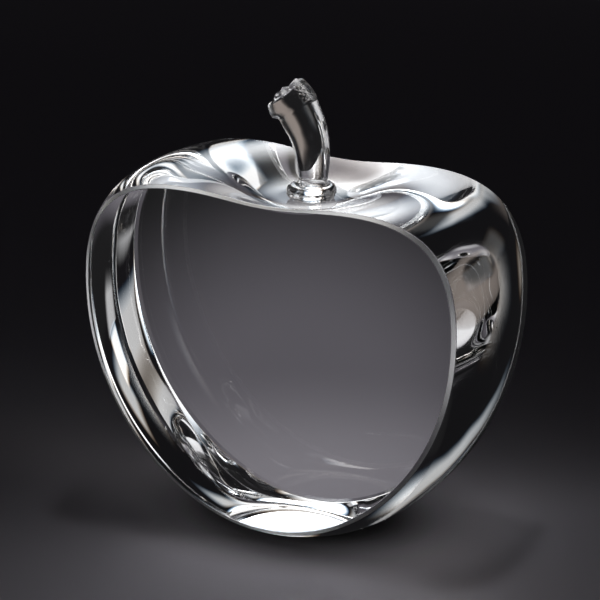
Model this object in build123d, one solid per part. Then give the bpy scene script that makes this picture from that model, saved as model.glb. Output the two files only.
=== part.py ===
from build123d import *
import os
from math import cos, radians, sin

# Art glass apple: a turned crystal apple, sliced flat at the front and the back, with a drawn glass
# stem bonded into the dimple on top. Millimetres, +Z up, +X to the right across the front face,
# which looks towards -Y. The origin is the centre of the ground facet that the apple stands on.

# Turned outline of the apple
WIDTH = 100.0            # diameter of the widest ring
FLANK_HEIGHT = 55.64     # standing facet up to the widest ring
SHOULDER_HEIGHT = 25.2   # widest ring up to the crest
CREST_DIAMETER = 56.72   # ring where the shoulder is highest
DIMPLE_DEPTH = 4.82      # crest down to the stem's seat
BASE_DIAMETER = 30.0     # ground facet that the apple stands on
BASE_ANGLE = 8.6         # degrees, rise of the flank where it leaves the facet

# Pull of each curve handle, as a share of its curve's span: curvature runs on across crest and widest ring
SEAT_PULL = 0.368
CREST_INNER_PULL = 0.497
CREST_OUTER_PULL = 0.896
WIDEST_UPPER_PULL = 0.418
WIDEST_LOWER_PULL = 0.682
BASE_PULL = 0.17

# Flat faces
THICKNESS = 39.0         # front face to back face
FRONT_BEVEL = 0.7        # ground bevel around the front face
BACK_BEVEL = 0.5         # ground bevel around the back face

# Stem
STEM_OFFSET = 1.4        # set by hand, this far to the right of the apple's axis
SHANK_SHIFT = 0.45       # shank's axis at the neck, to the right of the bead's
FOOT_DIAMETER = 11.2     # pressed bead at the bottom of the stem
FOOT_THICKNESS = 3.2
FOOT_ROUND = 1.4         # round on both edges of the bead
NECK_DIAMETER = 6.3
TIP_DIAMETER = 10.0
SWELL_POWER = 1.2        # how late the shank swells between them
TIP_ROUND = 1.0          # fire-polished edge around the cut tip
NECK_LENGTH = 4.4        # upright stretch of the centre line above the bead
BEND_RADIUS = 22.0       # centre line of the stem above that
BEND_ANGLE = 48.0        # degrees, from upright to the tip, leaning to the left
STEM_STATIONS = 7        # round sections from the neck to the tip

# Adhesive film and the ground seat below it
BOND_THICKNESS = 0.15
SEAT_MARGIN = 0.4        # ground flat that shows around the film on its far side

# Worked out from the sizes above
CREST_Z = FLANK_HEIGHT + SHOULDER_HEIGHT
SEAT_Z = CREST_Z - DIMPLE_DEPTH
BOND_DIAMETER = FOOT_DIAMETER - 2 * FOOT_ROUND
SEAT_DIAMETER = BOND_DIAMETER + 2 * (STEM_OFFSET + SEAT_MARGIN)
FOOT_Z = SEAT_Z + BOND_THICKNESS
NECK_Z = FOOT_Z + FOOT_THICKNESS


def at(radius, height):
    """A point of the turned outline, in the XZ plane."""
    return Vector(radius, 0, height)


def apple_section():
    """Half section of the turned apple: seat, dimple, shoulder, flank and standing facet."""
    seat = at(SEAT_DIAMETER / 2, SEAT_Z)
    crest = at(CREST_DIAMETER / 2, CREST_Z)
    widest = at(WIDTH / 2, FLANK_HEIGHT)
    base = at(BASE_DIAMETER / 2, 0)
    across = at(1, 0)
    upward = at(0, 1)
    off_base = at(cos(radians(BASE_ANGLE)), sin(radians(BASE_ANGLE)))
    dimple_span = crest.X - seat.X
    shoulder_span = widest.X - crest.X
    flank_span = widest.X - base.X
    dimple = Bezier(seat, seat + across * SEAT_PULL * dimple_span,
                    crest - across * CREST_INNER_PULL * dimple_span, crest)
    shoulder = Bezier(crest, crest + across * CREST_OUTER_PULL * shoulder_span,
                      widest + upward * WIDEST_UPPER_PULL * SHOULDER_HEIGHT, widest)
    flank = Bezier(widest, widest - upward * WIDEST_LOWER_PULL * FLANK_HEIGHT,
                   base + off_base * BASE_PULL * flank_span, base)
    axis_top = at(0, SEAT_Z)
    axis_foot = at(0, 0)
    straight = [Line(axis_foot, axis_top), Line(axis_top, seat), Line(base, axis_foot)]
    return Face(Wire([dimple, shoulder, flank] + straight))


def apple_body():
    """The turned apple, sliced flat at the front and back, with both rims bevelled."""
    turned = revolve(apple_section(), Axis.Z)
    slab = Pos(0, 0, CREST_Z / 2) * Box(2 * WIDTH, THICKNESS, 2 * CREST_Z)
    sliced = turned & slab
    faces = sliced.faces().filter_by(Axis.Y).sort_by(Axis.Y)
    eased = chamfer(faces[0].edges(), FRONT_BEVEL)
    back = eased.faces().filter_by(Axis.Y).sort_by(Axis.Y)[-1]
    return chamfer(back.edges(), BACK_BEVEL)


def stem_station(share):
    """Round section of the stem, this share of the way along its centre line from neck to tip."""
    along = share * (NECK_LENGTH + BEND_RADIUS * radians(BEND_ANGLE))
    turn = max(along - NECK_LENGTH, 0) / BEND_RADIUS
    lean = BEND_RADIUS * (1 - cos(turn))
    rise = min(along, NECK_LENGTH) + BEND_RADIUS * sin(turn)
    centre = (STEM_OFFSET + SHANK_SHIFT - lean, 0, NECK_Z + rise)
    swell = sin(radians(90 * share)) ** SWELL_POWER
    diameter = NECK_DIAMETER + (TIP_DIAMETER - NECK_DIAMETER) * swell
    return Plane(centre, x_dir=(0, 1, 0), z_dir=(-sin(turn), 0, cos(turn))) * Circle(diameter / 2)


def stem_foot():
    """Pressed bead that the stem stands on, with a flat underside."""
    bead = Cylinder(FOOT_DIAMETER / 2, FOOT_THICKNESS, align=(Align.CENTER, Align.CENTER, Align.MIN))
    bead = fillet(bead.edges().filter_by(GeomType.CIRCLE), FOOT_ROUND)
    return Pos(STEM_OFFSET, 0, FOOT_Z) * bead


def stem():
    """Drawn glass stem: bead, neck and bent, swelling shank in one piece."""
    shank = loft([stem_station(i / (STEM_STATIONS - 1)) for i in range(STEM_STATIONS)])
    tip = shank.faces().filter_by(GeomType.PLANE).sort_by(Axis.Z)[-1]
    shank = fillet(tip.edges(), TIP_ROUND)
    return stem_foot() + shank


def stem_bond():
    """Film of clear adhesive between the ground seat and the bead."""
    film = Cylinder(BOND_DIAMETER / 2, BOND_THICKNESS, align=(Align.CENTER, Align.CENTER, Align.MIN))
    return Pos(STEM_OFFSET, 0, SEAT_Z) * film


def main():
    os.makedirs("parts", exist_ok=True)
    pieces = {"apple_body": apple_body(), "stem": stem(), "stem_bond": stem_bond()}
    for node, shape in pieces.items():
        export_step(shape, f"parts/{node}.step")
        size = shape.bounding_box().size
        print(f"{node}: {shape.volume:.1f} mm3, {size.X:.2f} x {size.Y:.2f} x {size.Z:.2f} mm")


main()
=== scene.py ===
"""Art glass apple: a turned crystal apple sliced flat at front and back, with a drawn glass stem.

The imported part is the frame. Each of its three pieces is dressed by a fine surface worked out from the
same sizes: the crystal body, the drawn stem and the clear film that bonds them. Lengths are in metres.
"""
import math

import bpy
import numpy as np
from mathutils import Matrix, Vector


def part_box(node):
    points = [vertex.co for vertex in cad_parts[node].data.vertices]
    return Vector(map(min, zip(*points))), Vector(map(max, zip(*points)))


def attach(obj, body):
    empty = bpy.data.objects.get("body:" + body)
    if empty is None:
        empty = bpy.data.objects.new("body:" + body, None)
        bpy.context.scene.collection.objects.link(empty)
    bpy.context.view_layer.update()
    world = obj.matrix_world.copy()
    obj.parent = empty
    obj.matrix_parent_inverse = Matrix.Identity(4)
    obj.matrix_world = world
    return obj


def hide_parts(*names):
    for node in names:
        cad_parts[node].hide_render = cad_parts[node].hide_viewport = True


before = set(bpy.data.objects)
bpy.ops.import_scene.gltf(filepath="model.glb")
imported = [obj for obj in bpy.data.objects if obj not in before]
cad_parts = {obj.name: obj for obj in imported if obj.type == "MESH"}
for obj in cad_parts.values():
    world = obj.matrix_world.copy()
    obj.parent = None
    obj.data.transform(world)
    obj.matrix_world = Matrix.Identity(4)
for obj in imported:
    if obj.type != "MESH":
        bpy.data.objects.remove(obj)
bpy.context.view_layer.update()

bl_info = {
    "name": "Art Glass Apple",
    "version": (1, 0, 0),
    "blender": (4, 5, 0),
    "location": "View3D > Sidebar > Glass Apple",
    "description": "Builds a crystal apple paperweight around its packed frame",
    "category": "Object",
}

BODY_LOW, BODY_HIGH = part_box("apple_body")
BOND_LOW, BOND_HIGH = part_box("stem_bond")
STEM_LOW, STEM_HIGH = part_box("stem")
BOND_CENTRE = (BOND_LOW + BOND_HIGH) / 2
MM = 0.001

# Places around the stem, as turning angles from its right side
SEAM_TURN = math.radians(-26)
BULGE_TURN = math.radians(10)
LIP_TURN = math.radians(196)
LEDGE_TURN = math.radians(12)
SHEAR_TURN = math.radians(-16)

# Fades along the stem, as heights above its underside
BEAD_FADE = (2.4 * MM, 4.6 * MM)
SHANK_FADE = (4.2 * MM, 6.5 * MM)
NECK_FADE = (2.2 * MM, 4.8 * MM)

# Fades below the cut tip: the first three count from the tip, the others from the lower edge of the lip
LIP_THINNING = (2.6 * MM, 0.2 * MM)
LEDGE_THINNING = (3.4 * MM, 0.4 * MM)
RIM_FADE = (2.4 * MM, 0.3 * MM)
LIP_FADE = (0.5 * MM, -1.3 * MM)
LEDGE_FADE = (0.7 * MM, 0.1 * MM)
SHEAR_FADE = (0.2 * MM, -0.3 * MM)
PINCH_REACH = 0.7 * MM   # hollow below the lip
CHATTER = 0.09 * MM      # marks that the shears left on the flat
TEAR = 0.16 * MM         # tears across the cut

# Unevenness of the stem as cosine terms: weight, turns about the axis, phase, radians per metre along it
BEAD_TERMS = ((0.5, 3, 1.0, 0), (0.35, 5, 0.3, 0), (0.3, 8, 0.0, 900), (0.28, 13, 2.0, -1500))
SHANK_TERMS = ((0.010, 2, 0.7, 0), (0.004, 7, 0.8, 120), (0.003, 12, 2.0, -90), (0.006, 1, 0.0, 820))
RIM_TERMS = ((0.55, 2, 2.6, 0), (0.5, 5, 0.4, 0), (0.35, 9, 2.2, 0), (0.25, 14, 0.9, 0))

# Fineness of the surfaces
WELD = 0.0005 * MM             # points closer than this are one
ROUND_STEPS = 7                # across a polished edge of a bevel
UNDER_RINGS = (0, 0.5, 0.85)   # of the stem's flat underside, as shares of its radius
CUT_RINGS = 15                 # of the stem's cut, inside its rim

# Finish of the glass
HAZE_ROUGHNESS = 0.012   # where the polishing haze is full
SATIN_ROUGHNESS = 0.4    # added on a ground bevel
SATIN_MIRROR = 0.8       # share of the light that a ground bevel throws straight back
SATIN_EDGE = 0.06 * MM   # fade of that finish at the bevel's edges

# Patches of the floor: centre, reach, and the share of the reach that is even. The back and near patches
# lie along the view, the others along X and Y. The contact patch is painted shade around the standing
# facet; the others are painted light, glowing patches that the floor shows through and off the glass.
PAINTED_CONTACT_SHADE = ((0.0, 0.0), (0.05, 0.04), 0.35)
BACK_PATCH = ((0.005, 0.075), (0.074, 0.21), 0.28)
NEAR_PATCH = ((0.005, 0.032), (0.072, 0.08), 0.05)
FOCUS_PATCH = ((-0.014, 0.001), (0.034, 0.023), 0.35)
SPILL_PATCH = ((-0.055, 0.028), (0.022, 0.014), 0.4)
LEFT_PATCH = ((-0.175, 0.05), (0.1, 0.1), 0.5)
RIGHT_PATCH = ((0.17, -0.08), (0.09, 0.09), 0.5)
SPILL_SHARE = 0.6        # glow of the spill patch, as a share of the focus patch's
FLOOR_REACH = 30.0
FLOOR_GAP = 0.1 * MM     # floor below the standing facet

# Fades of the stage, between two distances from the apple, cosines of a turn or heights of the sky
SHEET_FADE = (0.3, 0.75)
HAZE_FADE = (0.4, 0.9)
# The beam is painted light: a glow on the floor, seen through the glass, where the low box would shine.
BEAM_FADE = (0.15, 0.27)
BEAM_TURN = math.radians(57)
BEAM_COSINE = (0.951, 0.9925)
BACKDROP_TURN = math.radians(-10)
BACKDROP_COSINE = (0.95, 1.0)
SKY_FADE = (0.05, 0.3)

# Soft boxes: turn and lift in degrees, distance, width, height, glow, share of each side that fades
SOFT_BOXES = {
    "back_box": (-31, 38, 1.1, 0.70, 0.98, 7.6, 0.45),
    "back_strip": (4, 46, 1.0, 0.38, 0.64, 0.6, 0.4),
    "low_box": (53, 7, 1.0, 0.46, 0.30, 1.1, 0.2),
    "low_fill": (34, 12, 1.0, 0.50, 0.38, 0.55, 0.3),
    "right_box": (108, 24, 1.0, 0.84, 0.82, 1.8, 0.5),
    "left_box": (-82, 8, 1.0, 0.75, 0.32, 1.5, 0.5),
    "top_box": (-25, 68, 1.0, 0.80, 0.50, 1.2, 0.4),
    "front_box": (-130, 55, 1.0, 0.90, 0.60, 1.8, 0.4),
    "overhead_box": (155, 72, 1.0, 0.40, 0.30, 1.5, 0.4),
}
POOL_BOX = (0, 90, 0.45, 0.05, 0.05, 4.4, 0.2)
POOL_SPREAD = math.radians(50)
POOL_SHIFT = 0.03
POOL_LEAN = Vector((-0.09, 0.20, 0.5))
AIM = Vector((0, 0, 0.045))   # point that the soft boxes look at
FRINGE = 0.008                # offset of a box's red and blue edges, as a share of its side
SENSOR = 36.0                 # camera's sensor in millimetres
PICTURE_WIDTH = 600           # pixels


def length(name, description, default):
    """A size in metres that the sidebar shows in the scene's unit."""
    return bpy.props.FloatProperty(
        name=name, description=description, default=default, unit="LENGTH", precision=5)


def share(name, description, default):
    """A plain number between 0 and 1."""
    return bpy.props.FloatProperty(name=name, description=description, default=default, min=0.0, max=1.0)


def number(name, description, default):
    """A plain number."""
    return bpy.props.FloatProperty(name=name, description=description, default=default, precision=4)


def angle(name, description, default):
    """An angle given in degrees and kept in radians."""
    return bpy.props.FloatProperty(
        name=name, description=description, default=math.radians(default), subtype="ANGLE")


def colour(name, description, default):
    """A linear colour."""
    return bpy.props.FloatVectorProperty(
        name=name, description=description, default=default, size=3, subtype="COLOR", min=0.0, max=1.0)


class BodySizes(bpy.types.PropertyGroup):
    """Turned outline and flat faces of the crystal body."""
    width: length("Width", "Diameter of the widest ring", BODY_HIGH.x - BODY_LOW.x)
    thickness: length("Thickness", "Front face to back face", BODY_HIGH.y - BODY_LOW.y)
    crest_height: length("Crest height", "Standing facet up to the crest", BODY_HIGH.z)
    seat_height: length("Seat height", "Standing facet up to the stem's seat", BOND_LOW.z)
    widest_height: length("Widest height", "Standing facet up to the widest ring", 55.64 * MM)
    crest_diameter: length("Crest diameter", "Ring where the shoulder is highest", 56.72 * MM)
    seat_diameter: length("Seat diameter", "Ground flat under the stem", 12 * MM)
    base_diameter: length("Base diameter", "Ground facet that the apple stands on", 30 * MM)
    base_angle: angle("Base angle", "Rise of the flank where it leaves the facet", 8.6)
    front_bevel: length("Front bevel", "Ground bevel around the front face", 0.7 * MM)
    back_bevel: length("Back bevel", "Ground bevel around the back face", 0.5 * MM)
    rim_polish: length("Rim polish", "Reach of the polished round along each edge of a bevel", 0.15 * MM)
    seat_pull: share("Seat pull", "Reach of the curve handle at the seat", 0.368)
    crest_inner_pull: share("Crest inner pull", "Reach of the handle inside the crest", 0.497)
    crest_outer_pull: share("Crest outer pull", "Reach of the handle outside the crest", 0.896)
    widest_upper_pull: share("Widest upper pull", "Reach of the handle above the widest ring", 0.418)
    widest_lower_pull: share("Widest lower pull", "Reach of the handle below the widest ring", 0.682)
    base_pull: share("Base pull", "Reach of the handle at the base", 0.17)


class StemSizes(bpy.types.PropertyGroup):
    """Bead, neck, bend and tip of the drawn stem."""
    offset: length("Offset", "Bead's place to the right of the apple's axis", BOND_CENTRE.x)
    shank_shift: length("Shank shift", "Shank's axis at the neck, to the right of the bead's", 0.45 * MM)
    foot_height: length("Foot height", "Standing facet up to the underside of the bead", STEM_LOW.z)
    foot_diameter: length("Foot diameter", "Pressed bead at the bottom", STEM_HIGH.y - STEM_LOW.y)
    foot_flat: length("Foot flat", "Flat underside of the bead", BOND_HIGH.x - BOND_LOW.x)
    foot_thickness: length("Foot thickness", "Height of the bead", 3.2 * MM)
    bead_lumps: length("Bead lumps", "Unevenness of the pressed bead", 0.12 * MM)
    seam_depth: length("Seam depth", "Fold where the bead was pressed", 0.7 * MM)
    neck_fillet: length("Neck fillet", "Rise of the hollow between bead and neck", 1.3 * MM)
    neck_diameter: length("Neck diameter", "Narrowest part, above the bead", 6.3 * MM)
    neck_length: length("Neck length", "Upright stretch above the bead", 4.4 * MM)
    tip_diameter: length("Tip diameter", "Shank at the cut tip", 10 * MM)
    tip_round: length("Tip round", "Fire-polished edge around the tip", 0.9 * MM)
    swell_power: number("Swell power", "How late the shank swells towards the tip", 1.2)
    bend_radius: length("Bend radius", "Bend of the centre line", 22 * MM)
    bend_angle: angle("Bend angle", "Turn of the centre line from neck to tip", 48)
    lip_flare: length("Lip flare", "Swelling of the lip on the inside of the bend", 0.95 * MM)
    lip_ledge: length("Lip ledge", "Swelling of the lip on the outside of the bend", 0.4 * MM)
    lip_length: length("Lip length", "Reach of the lip down the shank", 4.6 * MM)
    shear_flat: length("Shear flat", "Depth of the flat that the shears left beside the tip", 0.45 * MM)
    rim_wave: length("Rim wave", "Rise and fall of the cut's rim", 0.42 * MM)
    cut_dish: length("Cut dish", "Hollow of the cut", 1.1 * MM)


class GlassFinish(bpy.types.PropertyGroup):
    """Optical finish of the two glasses and the film."""
    crystal_ior: number("Crystal index", "Refractive index of the body", 1.47)
    stem_ior: number("Stem index", "Refractive index of the stem", 1.517)
    bond_ior: number("Film index", "Refractive index of the cured film", 1.5)
    crystal: colour("Crystal", "Tint of the polished crystal", (1.0, 1.0, 1.0))
    crystal_haze: colour("Crystal haze", "Tint where the polish is thinner", (0.985, 0.99, 0.99))
    stem: colour("Stem glass", "Tint of the drawn glass", (0.985, 0.985, 0.985))
    stem_streak: colour("Stem streak", "Tint of the drawing streaks", (0.95, 0.95, 0.955))
    film: colour("Film", "Tint of the cured film", (0.97, 0.97, 0.96))


class StageSettings(bpy.types.PropertyGroup):
    """Floor, light and camera."""
    floor: colour("Floor", "Pale floor", (0.62, 0.59, 0.65))
    # Painted shade: the shaded floor is a dark colour painted around the facet, and under the glowing
    # patches that the glass shows.
    shaded_floor: colour("Shaded floor", "Floor in the apple's shade", (0.012, 0.0118, 0.0125))
    # Painted light: the glows below are colours that the floor glows with through and off the glass, in
    # place of lamp light.
    focus_glow: colour("Focus glow", "Floor under the apple, where light gathers", (0.95, 0.95, 0.97))
    back_glow: colour("Back glow", "Lit floor behind the apple", (0.101, 0.095, 0.109))
    near_glow: colour("Near glow", "Lit floor close behind the apple", (0.20, 0.19, 0.212))
    beam_glow: colour("Beam glow", "Floor in the beam of the low box", (0.5, 0.5, 0.51))
    side_glow: colour("Side glow", "Lit floor at both sides, mirrored in the glass", (0.95, 0.95, 0.97))
    surround: colour("Surround", "Dim studio around the light", (0.006, 0.0058, 0.0066))
    # In the world these hazes are light; where the floor fades into them and glows, they are painted light.
    horizon: colour("Horizon", "Haze where the floor ends", (0.008, 0.0074, 0.0086))
    backdrop: colour("Backdrop", "Haze behind the apple, where it is lit", (0.285, 0.245, 0.222))
    azimuth: angle("Azimuth", "Camera's turn about the apple", 26.8)
    elevation: angle("Elevation", "Camera's height above the horizon", 19.58)
    distance: length("Distance", "Camera to the point that it looks at", 1.2)
    aim_across: length("Aim across", "Point looked at, across the view", -1.35 * MM)
    aim_up: length("Aim up", "Point looked at, up the view", 48.48 * MM)
    focal_pixels: number("Focal pixels", "Focal length in pixels of a picture 600 wide", 5232)


def bezier(points, count):
    """Cubic Bezier curve: the sum of the four points weighted by Bernstein's cubics at even steps."""
    t = np.linspace(0, 1, count)[:, None]
    a, b, c, d = (np.array(p, float) for p in points)
    return (1 - t) ** 3 * a + 3 * t * (1 - t) ** 2 * b + 3 * t * t * (1 - t) * c + t ** 3 * d


def turned_outline(s):
    """Radius and height from the seat's edge over the crest and down the flank to the base's edge.

    Three Bezier curves, level at the seat and the crest and upright at the widest ring.
    """
    seat = np.array([s.seat_diameter / 2, s.seat_height])
    crest = np.array([s.crest_diameter / 2, s.crest_height])
    widest = np.array([s.width / 2, s.widest_height])
    base = np.array([s.base_diameter / 2, 0.0])
    across = np.array([1.0, 0.0])
    upward = np.array([0.0, 1.0])
    off_base = np.array([math.cos(s.base_angle), math.sin(s.base_angle)])
    dimple_span = crest[0] - seat[0]
    shoulder_span = widest[0] - crest[0]
    shoulder_rise = crest[1] - widest[1]
    flank_span = widest[0] - base[0]
    fine = 2000
    dimple = bezier([seat, seat + across * s.seat_pull * dimple_span,
                     crest - across * s.crest_inner_pull * dimple_span, crest], fine)
    shoulder = bezier([crest, crest + across * s.crest_outer_pull * shoulder_span,
                       widest + upward * s.widest_upper_pull * shoulder_rise, widest], fine)
    flank = bezier([widest, widest - upward * s.widest_lower_pull * s.widest_height,
                    base + off_base * s.base_pull * flank_span, base], fine)
    return np.concatenate([dimple, shoulder[1:], flank[1:]])


def even_rows(curve, measure, start, stop, count):
    """Points of a fine curve from index start to stop, at even steps of a running length along it."""
    want = np.linspace(measure[start], measure[stop], count)
    columns = [np.interp(want, measure[start:stop + 1], column[start:stop + 1]) for column in curve.T]
    return np.stack(columns, 1)


def grid_faces(rows, columns, closed=False):
    """Corner numbers of the quads of a grid whose points are numbered row by row."""
    number_of = np.arange(rows * columns).reshape(rows, columns)
    if closed:
        number_of = np.concatenate([number_of, number_of[:, :1]], 1)
    corners = [number_of[:-1, :-1], number_of[:-1, 1:], number_of[1:, 1:], number_of[1:, :-1]]
    return np.stack([c.ravel() for c in corners], 1)


def fan_faces(ring, centre):
    """Corner numbers of the triangles from each step of a closed ring to its centre."""
    return np.stack([ring, np.roll(ring, -1), np.full(len(ring), centre)], 1)


def unit(v):
    """Vectors scaled to length 1 along the last axis."""
    return v / np.maximum(np.linalg.norm(v, axis=-1, keepdims=True), 1e-12)


class Skin:
    """Collects patches of surface with exact normals, then welds them into one closed mesh."""

    def __init__(self):
        self.points, self.normals, self.faces, self.total = [], [], [], 0

    def patch(self, points, normals, faces):
        """Adds a patch: points, outward normals, and faces as corner numbers, turned to face outward."""
        points = np.asarray(points, float).reshape(-1, 3)
        normals = np.asarray(normals, float)
        normals = np.broadcast_to(normals, points.shape) if normals.ndim == 1 else normals.reshape(-1, 3)
        a, b, c = (points[faces[:, i]] for i in range(3))
        outward = (np.cross(b - a, c - a) * normals[faces[:, 1]]).sum() > 0
        self.points.append(points)
        self.normals.append(normals)
        self.faces.append((faces if outward else faces[:, ::-1]) + self.total)
        self.total += len(points)

    def mesh(self, name):
        """Welds points that share a place and keeps each patch's own normals at its corners.

        A quad with one collapsed edge becomes a triangle, and a face with nothing left is dropped.
        """
        points = np.concatenate(self.points)
        normals = np.concatenate(self.normals)
        key = np.round(points / WELD).astype(np.int64)
        _, first, welded = np.unique(key, axis=0, return_index=True, return_inverse=True)
        welded = welded.ravel()
        faces, corner_normals = [], []
        for block in self.faces:
            same = np.roll(welded[block], -1, axis=1) == welded[block]
            collapsed = same.sum(1)
            kept = [block[collapsed == 0]]
            if block.shape[1] == 4:
                once = collapsed == 1
                kept.append(block[once][~same[once]].reshape(-1, 3))
            for corners in kept:
                faces += welded[corners].tolist()
                corner_normals.append(normals[corners].reshape(-1, 3))
        mesh = bpy.data.meshes.new(name)
        mesh.from_pydata(points[first], [], faces)
        mesh.shade_smooth()
        mesh.normals_split_custom_set(np.concatenate(corner_normals))
        return mesh


def rounded_corner(start, corner, stop, normal_start, normal_stop, steps):
    """Quadratic Bezier curve around a corner. Its normals turn evenly from one side's to the other's."""
    t = np.linspace(0, 1, steps)[:, None, None]
    points = (1 - t) ** 2 * start + 2 * t * (1 - t) * corner + t ** 2 * stop
    return points, unit((1 - t) * normal_start + t * normal_stop)


def rim_section(edge, normal, side, half, bevel, polish):
    """Ground bevel between an edge of the wall and a flat face, with both of its edges polished round.

    Across the rim, the wall runs on straight to the corner, the bevel cuts that corner by the same length
    on the wall and on the face, and a short Bezier curve rounds each edge of the bevel.
    """
    run = unit(np.roll(edge, -1, 0) - np.roll(edge, 1, 0))
    across = unit(np.cross(run, normal))
    across = across * np.sign(across[:, 1:2] * side)
    face_normal = np.broadcast_to(np.array([0.0, side, 0.0]), edge.shape)
    inward = -unit(normal * np.array([1, 0, 1]))
    corner = edge + across * (side * half - edge[:, 1:2]) / across[:, 1:2]
    wall_corner = edge + across * polish
    face_corner = corner + inward * bevel
    slope = unit(face_corner - wall_corner)
    bevel_normal = unit(np.cross(run, slope))
    bevel_normal = bevel_normal * np.sign((bevel_normal * (normal + face_normal)).sum(1, keepdims=True))
    outer = rounded_corner(edge, wall_corner, wall_corner + slope * polish,
                           normal, bevel_normal, ROUND_STEPS)
    inner = rounded_corner(face_corner - slope * polish, face_corner, face_corner + inward * polish,
                           bevel_normal, face_normal, ROUND_STEPS)
    return np.concatenate([outer[0], inner[0]]), np.concatenate([outer[1], inner[1]])


def rim_length(curve, depth):
    """Running length along the rim that the turned outline leaves on a plane this far from the axis."""
    r, z = curve.T
    x = np.sqrt(np.maximum(r ** 2 - depth ** 2, 0))
    return np.concatenate([[0], np.cumsum(np.hypot(np.diff(x), np.diff(z)))])


def apple_rows(s, front, back):
    """Rows of the wall as radius, height and normal, from the seat's edge to the base's edge.

    Rows fall exactly where the radius equals the depth of the front rim and of the back rim, and between
    those places they are spaced evenly along the rims.
    """
    curve = turned_outline(s)
    tangent = np.gradient(curve, axis=0)
    normal = unit(np.stack([-tangent[:, 1], tangent[:, 0]], 1))
    data = np.concatenate([curve, normal], 1)
    outside_front = np.flatnonzero(curve[:, 0] >= front)
    outside_back = np.flatnonzero(curve[:, 0] >= back)
    stops = [0, outside_front[0], outside_back[0], outside_back[-1], outside_front[-1], len(curve) - 1]
    depths = [0, front, back, front, 0]
    counts = [26, 26, 290, 26, 8]
    rows, joints = [data[:1]], [0]
    for start, stop, depth, count in zip(stops[:-1], stops[1:], depths, counts):
        rows.append(even_rows(data, rim_length(curve, depth), start, stop, count)[1:])
        joints.append(joints[-1] + count - 1)
    rows = np.concatenate(rows)
    rows[[joints[1], joints[4]], 0] = front
    rows[[joints[2], joints[3]], 0] = back
    return rows, joints


def apple_mesh(s):
    """Crystal body as one closed skin.

    A point of the wall is the turned outline's (r, z) swept by an angle about Z, where the angle runs from
    minus asin(front depth / r) to asin(back depth / r), so that the sweep stops short of the two slicing
    planes. The left half mirrors the right. A bevelled rim joins each edge of the wall to the outline of a
    flat face.
    """
    half = s.thickness / 2
    front = half - s.front_bevel - s.rim_polish
    back = half - s.back_bevel - s.rim_polish
    rows, joints = apple_rows(s, front, back)
    columns = 65
    radius = rows[:, :1]
    reach_front = np.arcsin(np.clip(front / radius, 0, 1))
    reach_back = np.arcsin(np.clip(back / radius, 0, 1))
    across = np.linspace(0, 1, columns)[None]
    psi = -reach_front + (reach_front + reach_back) * across
    psi_cos = np.where(np.abs(psi) > math.pi / 2 - 1e-9, 0, np.cos(psi))
    height = np.broadcast_to(rows[:, 1:2], psi.shape)
    wall = np.stack([radius * psi_cos, radius * np.sin(psi), height], -1)
    lean = np.broadcast_to(rows[:, 3:4], psi.shape)
    wall_normal = unit(np.stack([rows[:, 2:3] * psi_cos, rows[:, 2:3] * np.sin(psi), lean], -1))
    mirror = np.array([-1, 1, 1])
    skin = Skin()
    faces = grid_faces(len(rows), columns)
    skin.patch(wall, wall_normal, faces)
    skin.patch(wall * mirror, wall_normal * mirror, faces)
    for row, up in ((0, 1.0), (-1, -1.0)):
        ring = np.concatenate([wall[row], (wall[row] * mirror)[-2:0:-1]])
        hub = np.concatenate([ring, [[0, 0, ring[0, 2]]]])
        skin.patch(hub, (0, 0, up), fan_faces(np.arange(len(ring)), len(ring)))
    for side, column, first, last, bevel in ((-1, 0, joints[1], joints[4], s.front_bevel),
                                             (1, columns - 1, joints[2], joints[3], s.back_bevel)):
        edge_right = wall[first:last + 1, column]
        normal_right = wall_normal[first:last + 1, column]
        edge = np.concatenate([edge_right, (edge_right * mirror)[-2:0:-1]])
        edge_normal = np.concatenate([normal_right, (normal_right * mirror)[-2:0:-1]])
        points, normals = rim_section(edge, edge_normal, side, half, bevel, s.rim_polish)
        skin.patch(points, normals, grid_faces(len(points), len(edge), closed=True))
        middle = np.array([0, side * half, s.widest_height])
        shares = np.array([1.0, 0.9, 0.7, 0.45, 0.2])[:, None, None]
        rings = middle + shares * (points[-1] - middle)[None]
        skin.patch(rings, (0, side, 0), grid_faces(len(shares), len(edge), closed=True))
        hub = np.concatenate([rings[-1], middle[None]])
        skin.patch(hub, (0, side, 0), fan_faces(np.arange(len(edge)), len(edge)))
    return skin.mesh("apple_body_glass")


def rise(value, low, high):
    """0 below low, 1 above high and a smooth cubic between them."""
    t = np.clip((value - low) / (high - low), 0, 1)
    return t * t * (3 - 2 * t)


def hill(theta, centre, width):
    """A smooth hill of height 1 around a turning angle, of this half width in radians."""
    away = np.angle(np.exp(1j * (theta - centre)))
    return np.exp(-(away / width) ** 2)


def waves(theta, place, terms):
    """Sum of cosines of the turning angle and the place along the stem."""
    return sum(weight * np.cos(turns * theta + phase + rate * place)
               for weight, turns, phase, rate in terms)


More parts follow.
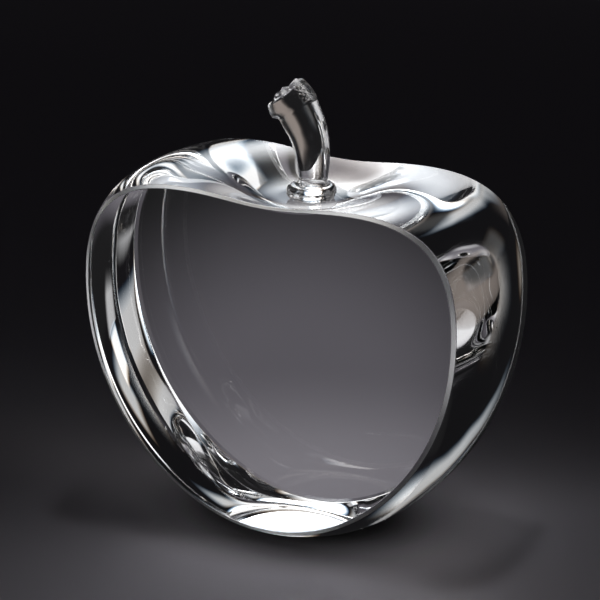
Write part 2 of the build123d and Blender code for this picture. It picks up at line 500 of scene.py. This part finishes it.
def stem_profile(s, total):
    """Radius and place along the centre line of each ring of the stem, before it is made uneven.

    The rings go out over the flat underside, round the bead on a half ellipse, up a hollow quarter ellipse
    to the neck, along the shank, which swells by a power of a quarter sine, round the edge of the tip on a
    quarter circle and in across the hollow cut.
    """
    out = s.foot_flat / 2
    foot_round = s.foot_diameter / 2 - out
    middle = s.foot_thickness / 2
    swing = np.linspace(-math.pi / 2, math.pi / 2, 36)
    quarter = np.linspace(0, math.pi / 2, 14)
    neck, tip = s.neck_diameter / 2, s.tip_diameter / 2
    under = np.stack([out * np.array(UNDER_RINGS), np.zeros(len(UNDER_RINGS))], 1)
    bead = np.stack([out + foot_round * np.cos(swing) ** 0.85, middle + middle * np.sin(swing)], 1)
    length_up = total - s.foot_thickness

    def shank_radius(along):
        way = (along - s.foot_thickness) / length_up
        return neck + (tip - neck) * np.sin(way * math.pi / 2) ** s.swell_power

    top = s.foot_thickness + s.neck_fillet
    inner = shank_radius(top)
    hollow = np.stack([inner + (out - inner) * (1 - np.sin(quarter)),
                       s.foot_thickness + s.neck_fillet * (1 - np.cos(quarter))], 1)
    along = np.linspace(top, total - s.tip_round, 150)
    shank = np.stack([shank_radius(along), along], 1)
    roll = np.stack([tip - s.tip_round * (1 - np.cos(quarter)),
                     total - s.tip_round * (1 - np.sin(quarter))], 1)
    inward = np.linspace(1, 0, CUT_RINGS + 1)
    cut = np.stack([(tip - s.tip_round) * inward, total - s.cut_dish * (1 - inward ** 2) ** 1.5], 1)
    return np.concatenate([under, bead, hollow[1:], shank[1:], roll[1:], cut[1:]])


def stem_mesh(s):
    """Drawn stem as a profile carried along a path and made uneven.

    The path rises through the bead and the neck, then follows an arc that leans to the left. Sums of
    cosines of the turning angle make the bead lumpy, ripple the shank and wave the rim of the cut. Hills
    around chosen angles fold the bead and swell the lip on both sides of the tip, and a plane shears a flat
    beside it.
    """
    upright = s.foot_thickness + s.neck_length
    total = upright + s.bend_radius * s.bend_angle
    theta = np.linspace(0, 2 * math.pi, 161)[None, :-1]
    profile = stem_profile(s, total)
    ring, place = profile[:, :1], profile[:, 1:]
    edge = s.tip_diameter / 2 - s.tip_round
    on_cut = np.arange(len(profile))[:, None] >= len(profile) - CUT_RINGS

    in_bead = rise(ring, 0.8 * s.foot_flat / 2, 1.1 * s.foot_flat / 2)
    in_bead = in_bead * (1 - rise(place, *BEAD_FADE))
    rings = 0.3 * np.cos(5200 * place + 1.5 * np.cos(theta + 2))
    lumps = s.bead_lumps * (waves(theta, place, BEAD_TERMS) + rings)
    fold = s.seam_depth * hill(theta, SEAM_TURN, 0.16)
    bulge = 0.6 * s.bead_lumps * hill(theta, BULGE_TURN, 0.5)
    radius = ring + in_bead * (lumps - fold + bulge)
    on_shank = rise(place, *SHANK_FADE) * ~on_cut
    radius = radius * (1 + on_shank * waves(theta, place, SHANK_TERMS))

    down = total - place
    below_lip = down - s.lip_length
    lip_left = rise(below_lip, *LIP_FADE) * (1 - 0.6 * rise(down, *LIP_THINNING))
    lip_right = rise(below_lip, *LEDGE_FADE) * (1 - 0.7 * rise(down, *LEDGE_THINNING))
    pinch = np.exp(-(below_lip / PINCH_REACH) ** 2)
    swell = s.lip_flare * hill(theta, LIP_TURN, 0.85) * lip_left
    swell = swell + s.lip_ledge * hill(theta, LEDGE_TURN, 0.75) * lip_right
    swell = swell - 0.16 * s.lip_flare * hill(theta, LIP_TURN, 0.8) * pinch
    radius = radius + np.where(on_cut, swell * ring / edge, swell)

    flat = s.tip_diameter / 2 + 0.25 * MM - s.shear_flat
    flat = flat / np.maximum(np.cos(theta - SHEAR_TURN), 0.2)
    chatter = CHATTER * np.cos(5200 * place + 3 * theta) * np.cos(19 * theta + 1600 * place)
    sheared = np.minimum(radius, flat + chatter)
    beside_tip = rise(below_lip, *SHEAR_FADE) * ~on_cut
    radius = radius + (sheared - radius) * beside_tip

    near_rim = np.where(on_cut, (ring / edge) ** 2, rise(down, *RIM_FADE))
    place = place + s.rim_wave * waves(theta, place, RIM_TERMS) * near_rim
    tear = TEAR * np.cos(7 * theta + 2600 * ring) * np.cos(3 * theta + 1.1 + 1400 * ring)
    place = place + np.where(on_cut, tear * (ring / edge) * (1 - (ring / edge) ** 4), 0)

    turned = np.maximum(place - upright, 0) / s.bend_radius
    centre_x = s.offset + s.shank_shift * rise(place, *NECK_FADE)
    centre_x = centre_x - s.bend_radius * (1 - np.cos(turned))
    centre_z = s.foot_height + np.minimum(place, upright) + s.bend_radius * np.sin(turned)
    side = radius * np.cos(theta)
    x = centre_x + side * np.cos(turned)
    z = centre_z + side * np.sin(turned)
    points = np.stack([x, radius * np.sin(theta), z], -1)
    forward = np.gradient(points, axis=0)
    sideways = np.roll(points, -1, 1) - np.roll(points, 1, 1)
    normals = unit(np.cross(sideways, forward))
    normals[:len(UNDER_RINGS)] = (0, 0, -1)
    normals[-1] = unit(normals[-2].mean(0))
    skin = Skin()
    skin.patch(points, normals, grid_faces(*points.shape[:2], closed=True))
    return skin.mesh("stem_glass")


def bond_mesh(low, high):
    """Film: a flat disc that stops a hair short of the seat and the bead, with a rounded edge.

    Its profile runs out along the underside, round a half circle and back along the top, turned about Z.
    """
    gap = 0.02 * MM
    radius = (high.x - low.x) / 2
    centre = np.array((low + high) / 2)
    half = (high.z - low.z) / 2 - gap
    swing = np.linspace(-math.pi / 2, math.pi / 2, 13)
    edge = np.stack([radius - half + half * np.cos(swing), half * np.sin(swing)], 1)
    profile = np.concatenate([[[0, -half]], edge, [[0, half]]])
    around = np.linspace(0, 2 * math.pi, 97)[:-1]
    points = np.stack([profile[:, :1] * np.cos(around), profile[:, :1] * np.sin(around),
                       np.broadcast_to(profile[:, 1:], (len(profile), len(around)))], -1) + centre
    normals = np.zeros_like(points)
    ring = np.concatenate([[-math.pi / 2], swing, [math.pi / 2]])[:, None]
    normals[..., 0] = np.cos(ring) * np.cos(around)
    normals[..., 1] = np.cos(ring) * np.sin(around)
    normals[..., 2] = np.sin(ring)
    skin = Skin()
    skin.patch(points, normals.reshape(-1, 3), grid_faces(len(profile), len(around), closed=True))
    return skin.mesh("stem_bond_film")


class Value:
    """A shader socket that Python arithmetic extends with Math nodes."""

    def __init__(self, tree, socket):
        self.tree, self.socket = tree, socket

    def math(self, operation, a, b):
        return self.tree.node("ShaderNodeMath", {"operation": operation}, {0: a, 1: b})

    def __add__(self, other):
        return self.math("ADD", self, other)

    def __sub__(self, other):
        return self.math("SUBTRACT", self, other)

    def __rsub__(self, other):
        return self.math("SUBTRACT", other, self)

    def __mul__(self, other):
        return self.math("MULTIPLY", self, other)

    __radd__ = __add__
    __rmul__ = __mul__


class Tree:
    """A material's or world's node tree."""

    def __init__(self, owner):
        owner.use_nodes = True
        self.nodes, self.links = owner.node_tree.nodes, owner.node_tree.links
        self.nodes.clear()

    def node(self, kind, settings=None, inputs=None, output=0):
        """Adds a node, sets its settings, then its sockets' values or links, and gives an output."""
        made = self.nodes.new(kind)
        for name, value in (settings or {}).items():
            setattr(made, name, value)
        for name, value in (inputs or {}).items():
            if isinstance(value, Value):
                self.links.new(value.socket, made.inputs[name])
            else:
                made.inputs[name].default_value = value
        return Value(self, made.outputs[output]) if made.outputs else made


def rgba(c):
    """A colour property as four numbers."""
    return (*c, 1.0)


def smooth_step(tree, value, low, high):
    """0 below low, 1 above high and a smooth rise between them."""
    return tree.node("ShaderNodeMapRange", {"interpolation_type": "SMOOTHSTEP"},
                     {"Value": value, "From Min": low, "From Max": high, "To Min": 0.0, "To Max": 1.0})


def blend(tree, factor, first, second):
    """The first colour where the factor is 0, the second where it is 1. Each is a property or a socket."""
    first, second = (c if isinstance(c, Value) else rgba(c) for c in (first, second))
    return tree.node("ShaderNodeMix", {"data_type": "RGBA"},
                     {"Factor": factor, 6: first, 7: second}, output=2)


def band(tree, value, low, high, soft):
    """1 between low and high, with soft edges inside them."""
    return smooth_step(tree, value, low, low + soft) * (1 - smooth_step(tree, value, high - soft, high))


def crystal_material(name, clear, hazy, ior, haze_scale, wave_scale, wave_height, ground=()):
    """Clear polished glass, with a faint haze in roughness and tint and a shallow wave in the surface.

    Hazy is the tint where the haze is full, or None for glass of one tint. Ground is the band of Y, as low
    and high, in which the surface was left satin and throws light back.
    """
    material = bpy.data.materials.new(name)
    tree = Tree(material)
    place = tree.node("ShaderNodeTexCoord", output="Object")
    haze = tree.node("ShaderNodeTexNoise", inputs={"Vector": place, "Scale": haze_scale, "Detail": 4.0})
    wave = tree.node("ShaderNodeTexNoise", inputs={"Vector": place, "Scale": wave_scale, "Detail": 1.0})
    bump = tree.node("ShaderNodeBump", inputs={"Strength": 1.0, "Distance": wave_height, "Height": wave})
    tint = rgba(clear) if hazy is None else blend(tree, haze, clear, hazy)
    rough = haze * HAZE_ROUGHNESS
    mirror = 0.0
    if ground:
        depth = tree.node("ShaderNodeSeparateXYZ", inputs={0: place}, output="Y")
        satin = band(tree, depth, *ground, SATIN_EDGE)
        rough = rough + satin * SATIN_ROUGHNESS
        mirror = satin * SATIN_MIRROR
    shader = tree.node("ShaderNodeBsdfPrincipled", inputs={
        "Base Color": tint, "Roughness": rough, "Metallic": mirror,
        "IOR": ior, "Transmission Weight": 1.0, "Normal": bump})
    tree.node("ShaderNodeOutputMaterial", inputs={"Surface": shader})
    return material


def place_piece(context, mesh, material, node):
    """Makes the object, gives it its finish and seats it on the frame in place of its CAD node."""
    mesh.materials.append(material)
    piece = bpy.data.objects.new(mesh.name, mesh)
    context.collection.objects.link(piece)
    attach(piece, "root")
    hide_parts(node)


class GLASSAPPLE_OT_body(bpy.types.Operator):
    """Build the crystal body"""
    bl_idname = "glassapple.body"
    bl_label = "Crystal body"

    def execute(self, context):
        finish = context.scene.glass_finish
        sizes = context.scene.body_sizes
        half = sizes.thickness / 2
        ground = (-half, sizes.front_bevel - half)
        material = crystal_material("crystal", finish.crystal, finish.crystal_haze, finish.crystal_ior,
                                    haze_scale=60, wave_scale=90, wave_height=0.02 * MM, ground=ground)
        place_piece(context, apple_mesh(sizes), material, "apple_body")
        return {"FINISHED"}


class GLASSAPPLE_OT_stem(bpy.types.Operator):
    """Build the drawn stem"""
    bl_idname = "glassapple.stem"
    bl_label = "Drawn stem"

    def execute(self, context):
        finish = context.scene.glass_finish
        material = crystal_material("stem_glass", finish.stem, finish.stem_streak, finish.stem_ior,
                                    haze_scale=200, wave_scale=250, wave_height=0.04 * MM)
        place_piece(context, stem_mesh(context.scene.stem_sizes), material, "stem")
        return {"FINISHED"}


class GLASSAPPLE_OT_bond(bpy.types.Operator):
    """Build the adhesive film"""
    bl_idname = "glassapple.bond"
    bl_label = "Adhesive film"

    def execute(self, context):
        finish = context.scene.glass_finish
        material = crystal_material("adhesive", finish.film, None, finish.bond_ior,
                                    haze_scale=300, wave_scale=300, wave_height=0.01 * MM)
        place_piece(context, bond_mesh(BOND_LOW, BOND_HIGH), material, "stem_bond")
        return {"FINISHED"}


def glowing(tree, tint):
    """A glow of this colour, whatever light falls on the surface."""
    return tree.node("ShaderNodeEmission", inputs={"Color": tint, "Strength": 1.0})


def mix_shaders(tree, factor, first, second):
    """The first shader where the factor is 0, the second where it is 1."""
    return tree.node("ShaderNodeMixShader", inputs={0: factor, 1: first, 2: second})


def soft_box(context, name, turn, lift, away, width, height, glow, edge):
    """A rectangular soft box aimed at the apple's middle, which the camera itself doesn't see.

    Turn is counted from the back of the apple towards its right, lift from the horizon, both in degrees.
    The glow is full in the middle and fades out over a share of each side. Its red and blue edges lie a
    little apart, which gives what the glass shows of them fine fringes of colour.
    """
    turn, lift = math.radians(turn), math.radians(lift)
    heading = Vector((math.sin(turn) * math.cos(lift), math.cos(turn) * math.cos(lift), math.sin(lift)))
    lamp = bpy.data.lights.new(name, "AREA")
    lamp.shape = "RECTANGLE"
    lamp.size, lamp.size_y = width, height
    lamp.energy = glow * math.pi * width * height
    tree = Tree(lamp)
    across = tree.node("ShaderNodeNewGeometry", output="Parametric")
    u = tree.node("ShaderNodeSeparateXYZ", inputs={0: across}, output=0)
    v = tree.node("ShaderNodeSeparateXYZ", inputs={0: across}, output=1)
    fades = []
    for shift in (-FRINGE, 0.0, FRINGE):
        fade = 1.0
        for side in (u + shift, 1 - shift - u, v + shift, 1 - shift - v):
            fade = smooth_step(tree, side, 0.0, edge) * fade
        fades.append(fade)
    fringed = tree.node("ShaderNodeCombineColor", inputs=dict(enumerate(fades)))
    tree.node("ShaderNodeOutputLight", inputs={"Surface": glowing(tree, fringed)})
    box = bpy.data.objects.new(name, lamp)
    box.location = AIM + heading * away
    box.rotation_euler = heading.to_track_quat("Z", "Y").to_euler()
    box.visible_camera = False
    context.collection.objects.link(box)
    return box


def painted_patch_mask(tree, place, centre, reach, core):
    """Mask for the floor's painted light and painted shade: 1 in the middle of an ellipse, from this share
    of its reach fading to 0 at its edge.
    """
    apart = tree.node("ShaderNodeVectorMath", {"operation": "SUBTRACT"}, {0: place, 1: (*centre, 0)})
    apart = tree.node("ShaderNodeVectorMath", {"operation": "DIVIDE"}, {0: apart, 1: (*reach, 1)})
    apart = tree.node("ShaderNodeVectorMath", {"operation": "LENGTH"}, {0: apart}, output="Value")
    return 1 - smooth_step(tree, apart, core, 1.0)


def facing(tree, place, turn, low, high):
    """1 towards a turn about the apple and 0 away from it, by the cosine of the angle between them."""
    level = tree.node("ShaderNodeVectorMath", {"operation": "MULTIPLY"}, {0: place, 1: (1, 1, 0)})
    level = tree.node("ShaderNodeVectorMath", {"operation": "NORMALIZE"}, {0: level})
    towards = (math.sin(turn), math.cos(turn), 0)
    cosine = tree.node("ShaderNodeVectorMath", {"operation": "DOT_PRODUCT"}, {0: level, 1: towards},
                       output="Value")
    return smooth_step(tree, cosine, low, high)


def far_haze(tree, place, stage):
    """Haze far from the apple, brighter towards the lit part of the studio behind it. In the world it is
    light; on the floor, which glows with it far off, it is painted light.
    """
    lit = facing(tree, place, BACKDROP_TURN, *BACKDROP_COSINE)
    return blend(tree, lit, stage.horizon, stage.backdrop)


def floor_seen_through(tree, place, away, far, haze, stage):
    """Painted light of the floor through the glass: lit behind the apple, in the focus under it, in the
    beam.
    """
    behind = tree.node("ShaderNodeMapping", inputs={"Vector": place, "Rotation": (0, 0, -stage.azimuth)})
    tint = blend(tree, painted_patch_mask(tree, behind, *BACK_PATCH), stage.shaded_floor, stage.back_glow)
    tint = blend(tree, painted_patch_mask(tree, behind, *NEAR_PATCH), tint, stage.near_glow)
    tint = blend(tree, far, tint, haze)
    tint = blend(tree, painted_patch_mask(tree, place, *FOCUS_PATCH), tint, stage.focus_glow)
    tint = blend(tree, painted_patch_mask(tree, place, *SPILL_PATCH) * SPILL_SHARE, tint, stage.focus_glow)
    beam = facing(tree, place, BEAM_TURN, *BEAM_COSINE) * smooth_step(tree, away, *BEAM_FADE)
    return blend(tree, beam, tint, stage.beam_glow)


def floor_mirrored(tree, place, stage):
    """Painted light of the floor in reflections off the glass: lit at both sides of the apple."""
    tint = blend(tree, painted_patch_mask(tree, place, *LEFT_PATCH), stage.shaded_floor, stage.side_glow)
    return blend(tree, painted_patch_mask(tree, place, *RIGHT_PATCH), tint, stage.side_glow)


class GLASSAPPLE_OT_stage(bpy.types.Operator):
    """Build the floor, the light and the camera"""
    bl_idname = "glassapple.stage"
    bl_label = "Stage"

    def execute(self, context):
        scene, stage = context.scene, context.scene.stage_settings
        scene.view_settings.view_transform = "Standard"
        scene.cycles.max_bounces = 32
        scene.cycles.transmission_bounces = 28
        scene.cycles.glossy_bounces = 12
        self.floor(context, stage)
        self.surround(scene, stage)
        self.lights(context)
        self.camera(context, stage)
        return {"FINISHED"}

    def floor(self, context, stage):
        """A pale sheet under the apple, with shade painted round the facet, fading into the studio's
        glowing haze.

        Rays that come through the glass or off it see painted light: glowing patches that stand for the
        light that the crystal gathers and throws on the sheet, on a colour painted dark as shade.
        """
        mesh = bpy.data.meshes.new("floor")
        corner = np.array([[-1, -1, 0], [1, -1, 0], [1, 1, 0], [-1, 1, 0]]) * FLOOR_REACH
        mesh.from_pydata(corner, [], [(0, 1, 2, 3)])
        material = bpy.data.materials.new("floor_sheet")
        tree = Tree(material)
        place = tree.node("ShaderNodeTexCoord", output="Object")
        away = tree.node("ShaderNodeVectorMath", {"operation": "LENGTH"}, {0: place}, output="Value")
        far = smooth_step(tree, away, *SHEET_FADE)
        far_off = smooth_step(tree, away, *HAZE_FADE)
        haze = blend(tree, far_off, stage.horizon, far_haze(tree, place, stage))
        # Painted shadow: the sheet's own colour darkens to the shaded floor around the standing facet,
        # where the apple's shade falls.
        painted_contact_shade = painted_patch_mask(tree, place, *PAINTED_CONTACT_SHADE)
        sheet = tree.node("ShaderNodeBsdfPrincipled", inputs={
            "Base Color": blend(tree, painted_contact_shade, stage.floor, stage.shaded_floor),
            "Roughness": 0.7, "Specular IOR Level": 0.0})
        # Far off, the sheet glows with the haze instead of taking light, which there is painted light.
        plain = mix_shaders(tree, far, sheet, glowing(tree, haze))
        # Painted light: in reflections and through the glass, the floor glows with lit patches instead of
        # taking the lamps' light.
        mirrored = glowing(tree, floor_mirrored(tree, place, stage))
        through = glowing(tree, floor_seen_through(tree, place, away, far, haze, stage))
        off_glass = tree.node("ShaderNodeLightPath", output="Is Glossy Ray")
        in_glass = tree.node("ShaderNodeLightPath", output="Is Transmission Ray")
        shader = mix_shaders(tree, in_glass, mix_shaders(tree, off_glass, plain, mirrored), through)
        tree.node("ShaderNodeOutputMaterial", inputs={"Surface": shader})
        mesh.materials.append(material)
        floor = bpy.data.objects.new("floor", mesh)
        floor.location.z = -FLOOR_GAP
        context.collection.objects.link(floor)

    def surround(self, scene, stage):
        """A dim studio, with the haze along its horizon."""
        world = bpy.data.worlds.new("studio")
        scene.world = world
        tree = Tree(world)
        heading = tree.node("ShaderNodeTexCoord", output="Generated")
        height = tree.node("ShaderNodeSeparateXYZ", inputs={0: heading}, output="Z")
        above = smooth_step(tree, height, *SKY_FADE)
        sky = blend(tree, above, far_haze(tree, heading, stage), stage.surround)
        glow = tree.node("ShaderNodeBackground", inputs={"Color": sky, "Strength": 1.0})
        tree.node("ShaderNodeOutputWorld", inputs={"Surface": glow})

    def lights(self, context):
        """Soft boxes that only the glass sees, and a lamp overhead for the pool of light on the floor."""
        for name, values in SOFT_BOXES.items():
            soft_box(context, name, *values).visible_diffuse = False
        pool = soft_box(context, "pool_box", *POOL_BOX)
        pool.data.spread = POOL_SPREAD
        pool.location.y += POOL_SHIFT
        pool.rotation_euler = POOL_LEAN.to_track_quat("Z", "Y").to_euler()
        pool.visible_glossy = pool.visible_transmission = False

    def camera(self, context, stage):
        """A long lens at the photograph's angle."""
        lens = bpy.data.cameras.new("camera")
        lens.sensor_width = SENSOR
        lens.lens = stage.focal_pixels * SENSOR / PICTURE_WIDTH
        lens.clip_end = 2 * FLOOR_REACH
        turn, tilt = stage.azimuth, stage.elevation
        right = Vector((math.cos(turn), math.sin(turn), 0))
        back = Vector((math.sin(turn) * math.cos(tilt), -math.cos(turn) * math.cos(tilt), math.sin(tilt)))
        up = back.cross(right)
        eye = bpy.data.objects.new("camera", lens)
        place = right * stage.aim_across + up * stage.aim_up + back * stage.distance
        eye.matrix_world = Matrix.Translation(place) @ Matrix((right, up, back)).transposed().to_4x4()
        context.collection.objects.link(eye)
        context.scene.camera = eye


class GLASSAPPLE_PT_sidebar(bpy.types.Panel):
    """Sizes and finishes of the glass apple"""
    bl_idname = "GLASSAPPLE_PT_sidebar"
    bl_label = "Glass Apple"
    bl_space_type = "VIEW_3D"
    bl_region_type = "UI"
    bl_category = "Glass Apple"

    def draw(self, context):
        for group in GROUPS:
            settings = getattr(context.scene, group)
            box = self.layout.box()
            for name in settings.__annotations__:
                box.prop(settings, name)
        for step in STEPS:
            self.layout.operator(step.bl_idname)


GROUPS = {"body_sizes": BodySizes, "stem_sizes": StemSizes, "glass_finish": GlassFinish,
          "stage_settings": StageSettings}
STEPS = (GLASSAPPLE_OT_body, GLASSAPPLE_OT_bond, GLASSAPPLE_OT_stem, GLASSAPPLE_OT_stage)


def register():
    for name, group in GROUPS.items():
        bpy.utils.register_class(group)
        setattr(bpy.types.Scene, name, bpy.props.PointerProperty(type=group))
    for made in (*STEPS, GLASSAPPLE_PT_sidebar):
        bpy.utils.register_class(made)


def unregister():
    for made in (GLASSAPPLE_PT_sidebar, *reversed(STEPS)):
        bpy.utils.unregister_class(made)
    for name, group in GROUPS.items():
        delattr(bpy.types.Scene, name)
        bpy.utils.unregister_class(group)


def main():
    register()
    bpy.ops.glassapple.body()
    bpy.ops.glassapple.bond()
    bpy.ops.glassapple.stem()
    bpy.ops.glassapple.stage()


if __name__ == "__main__":
    main()
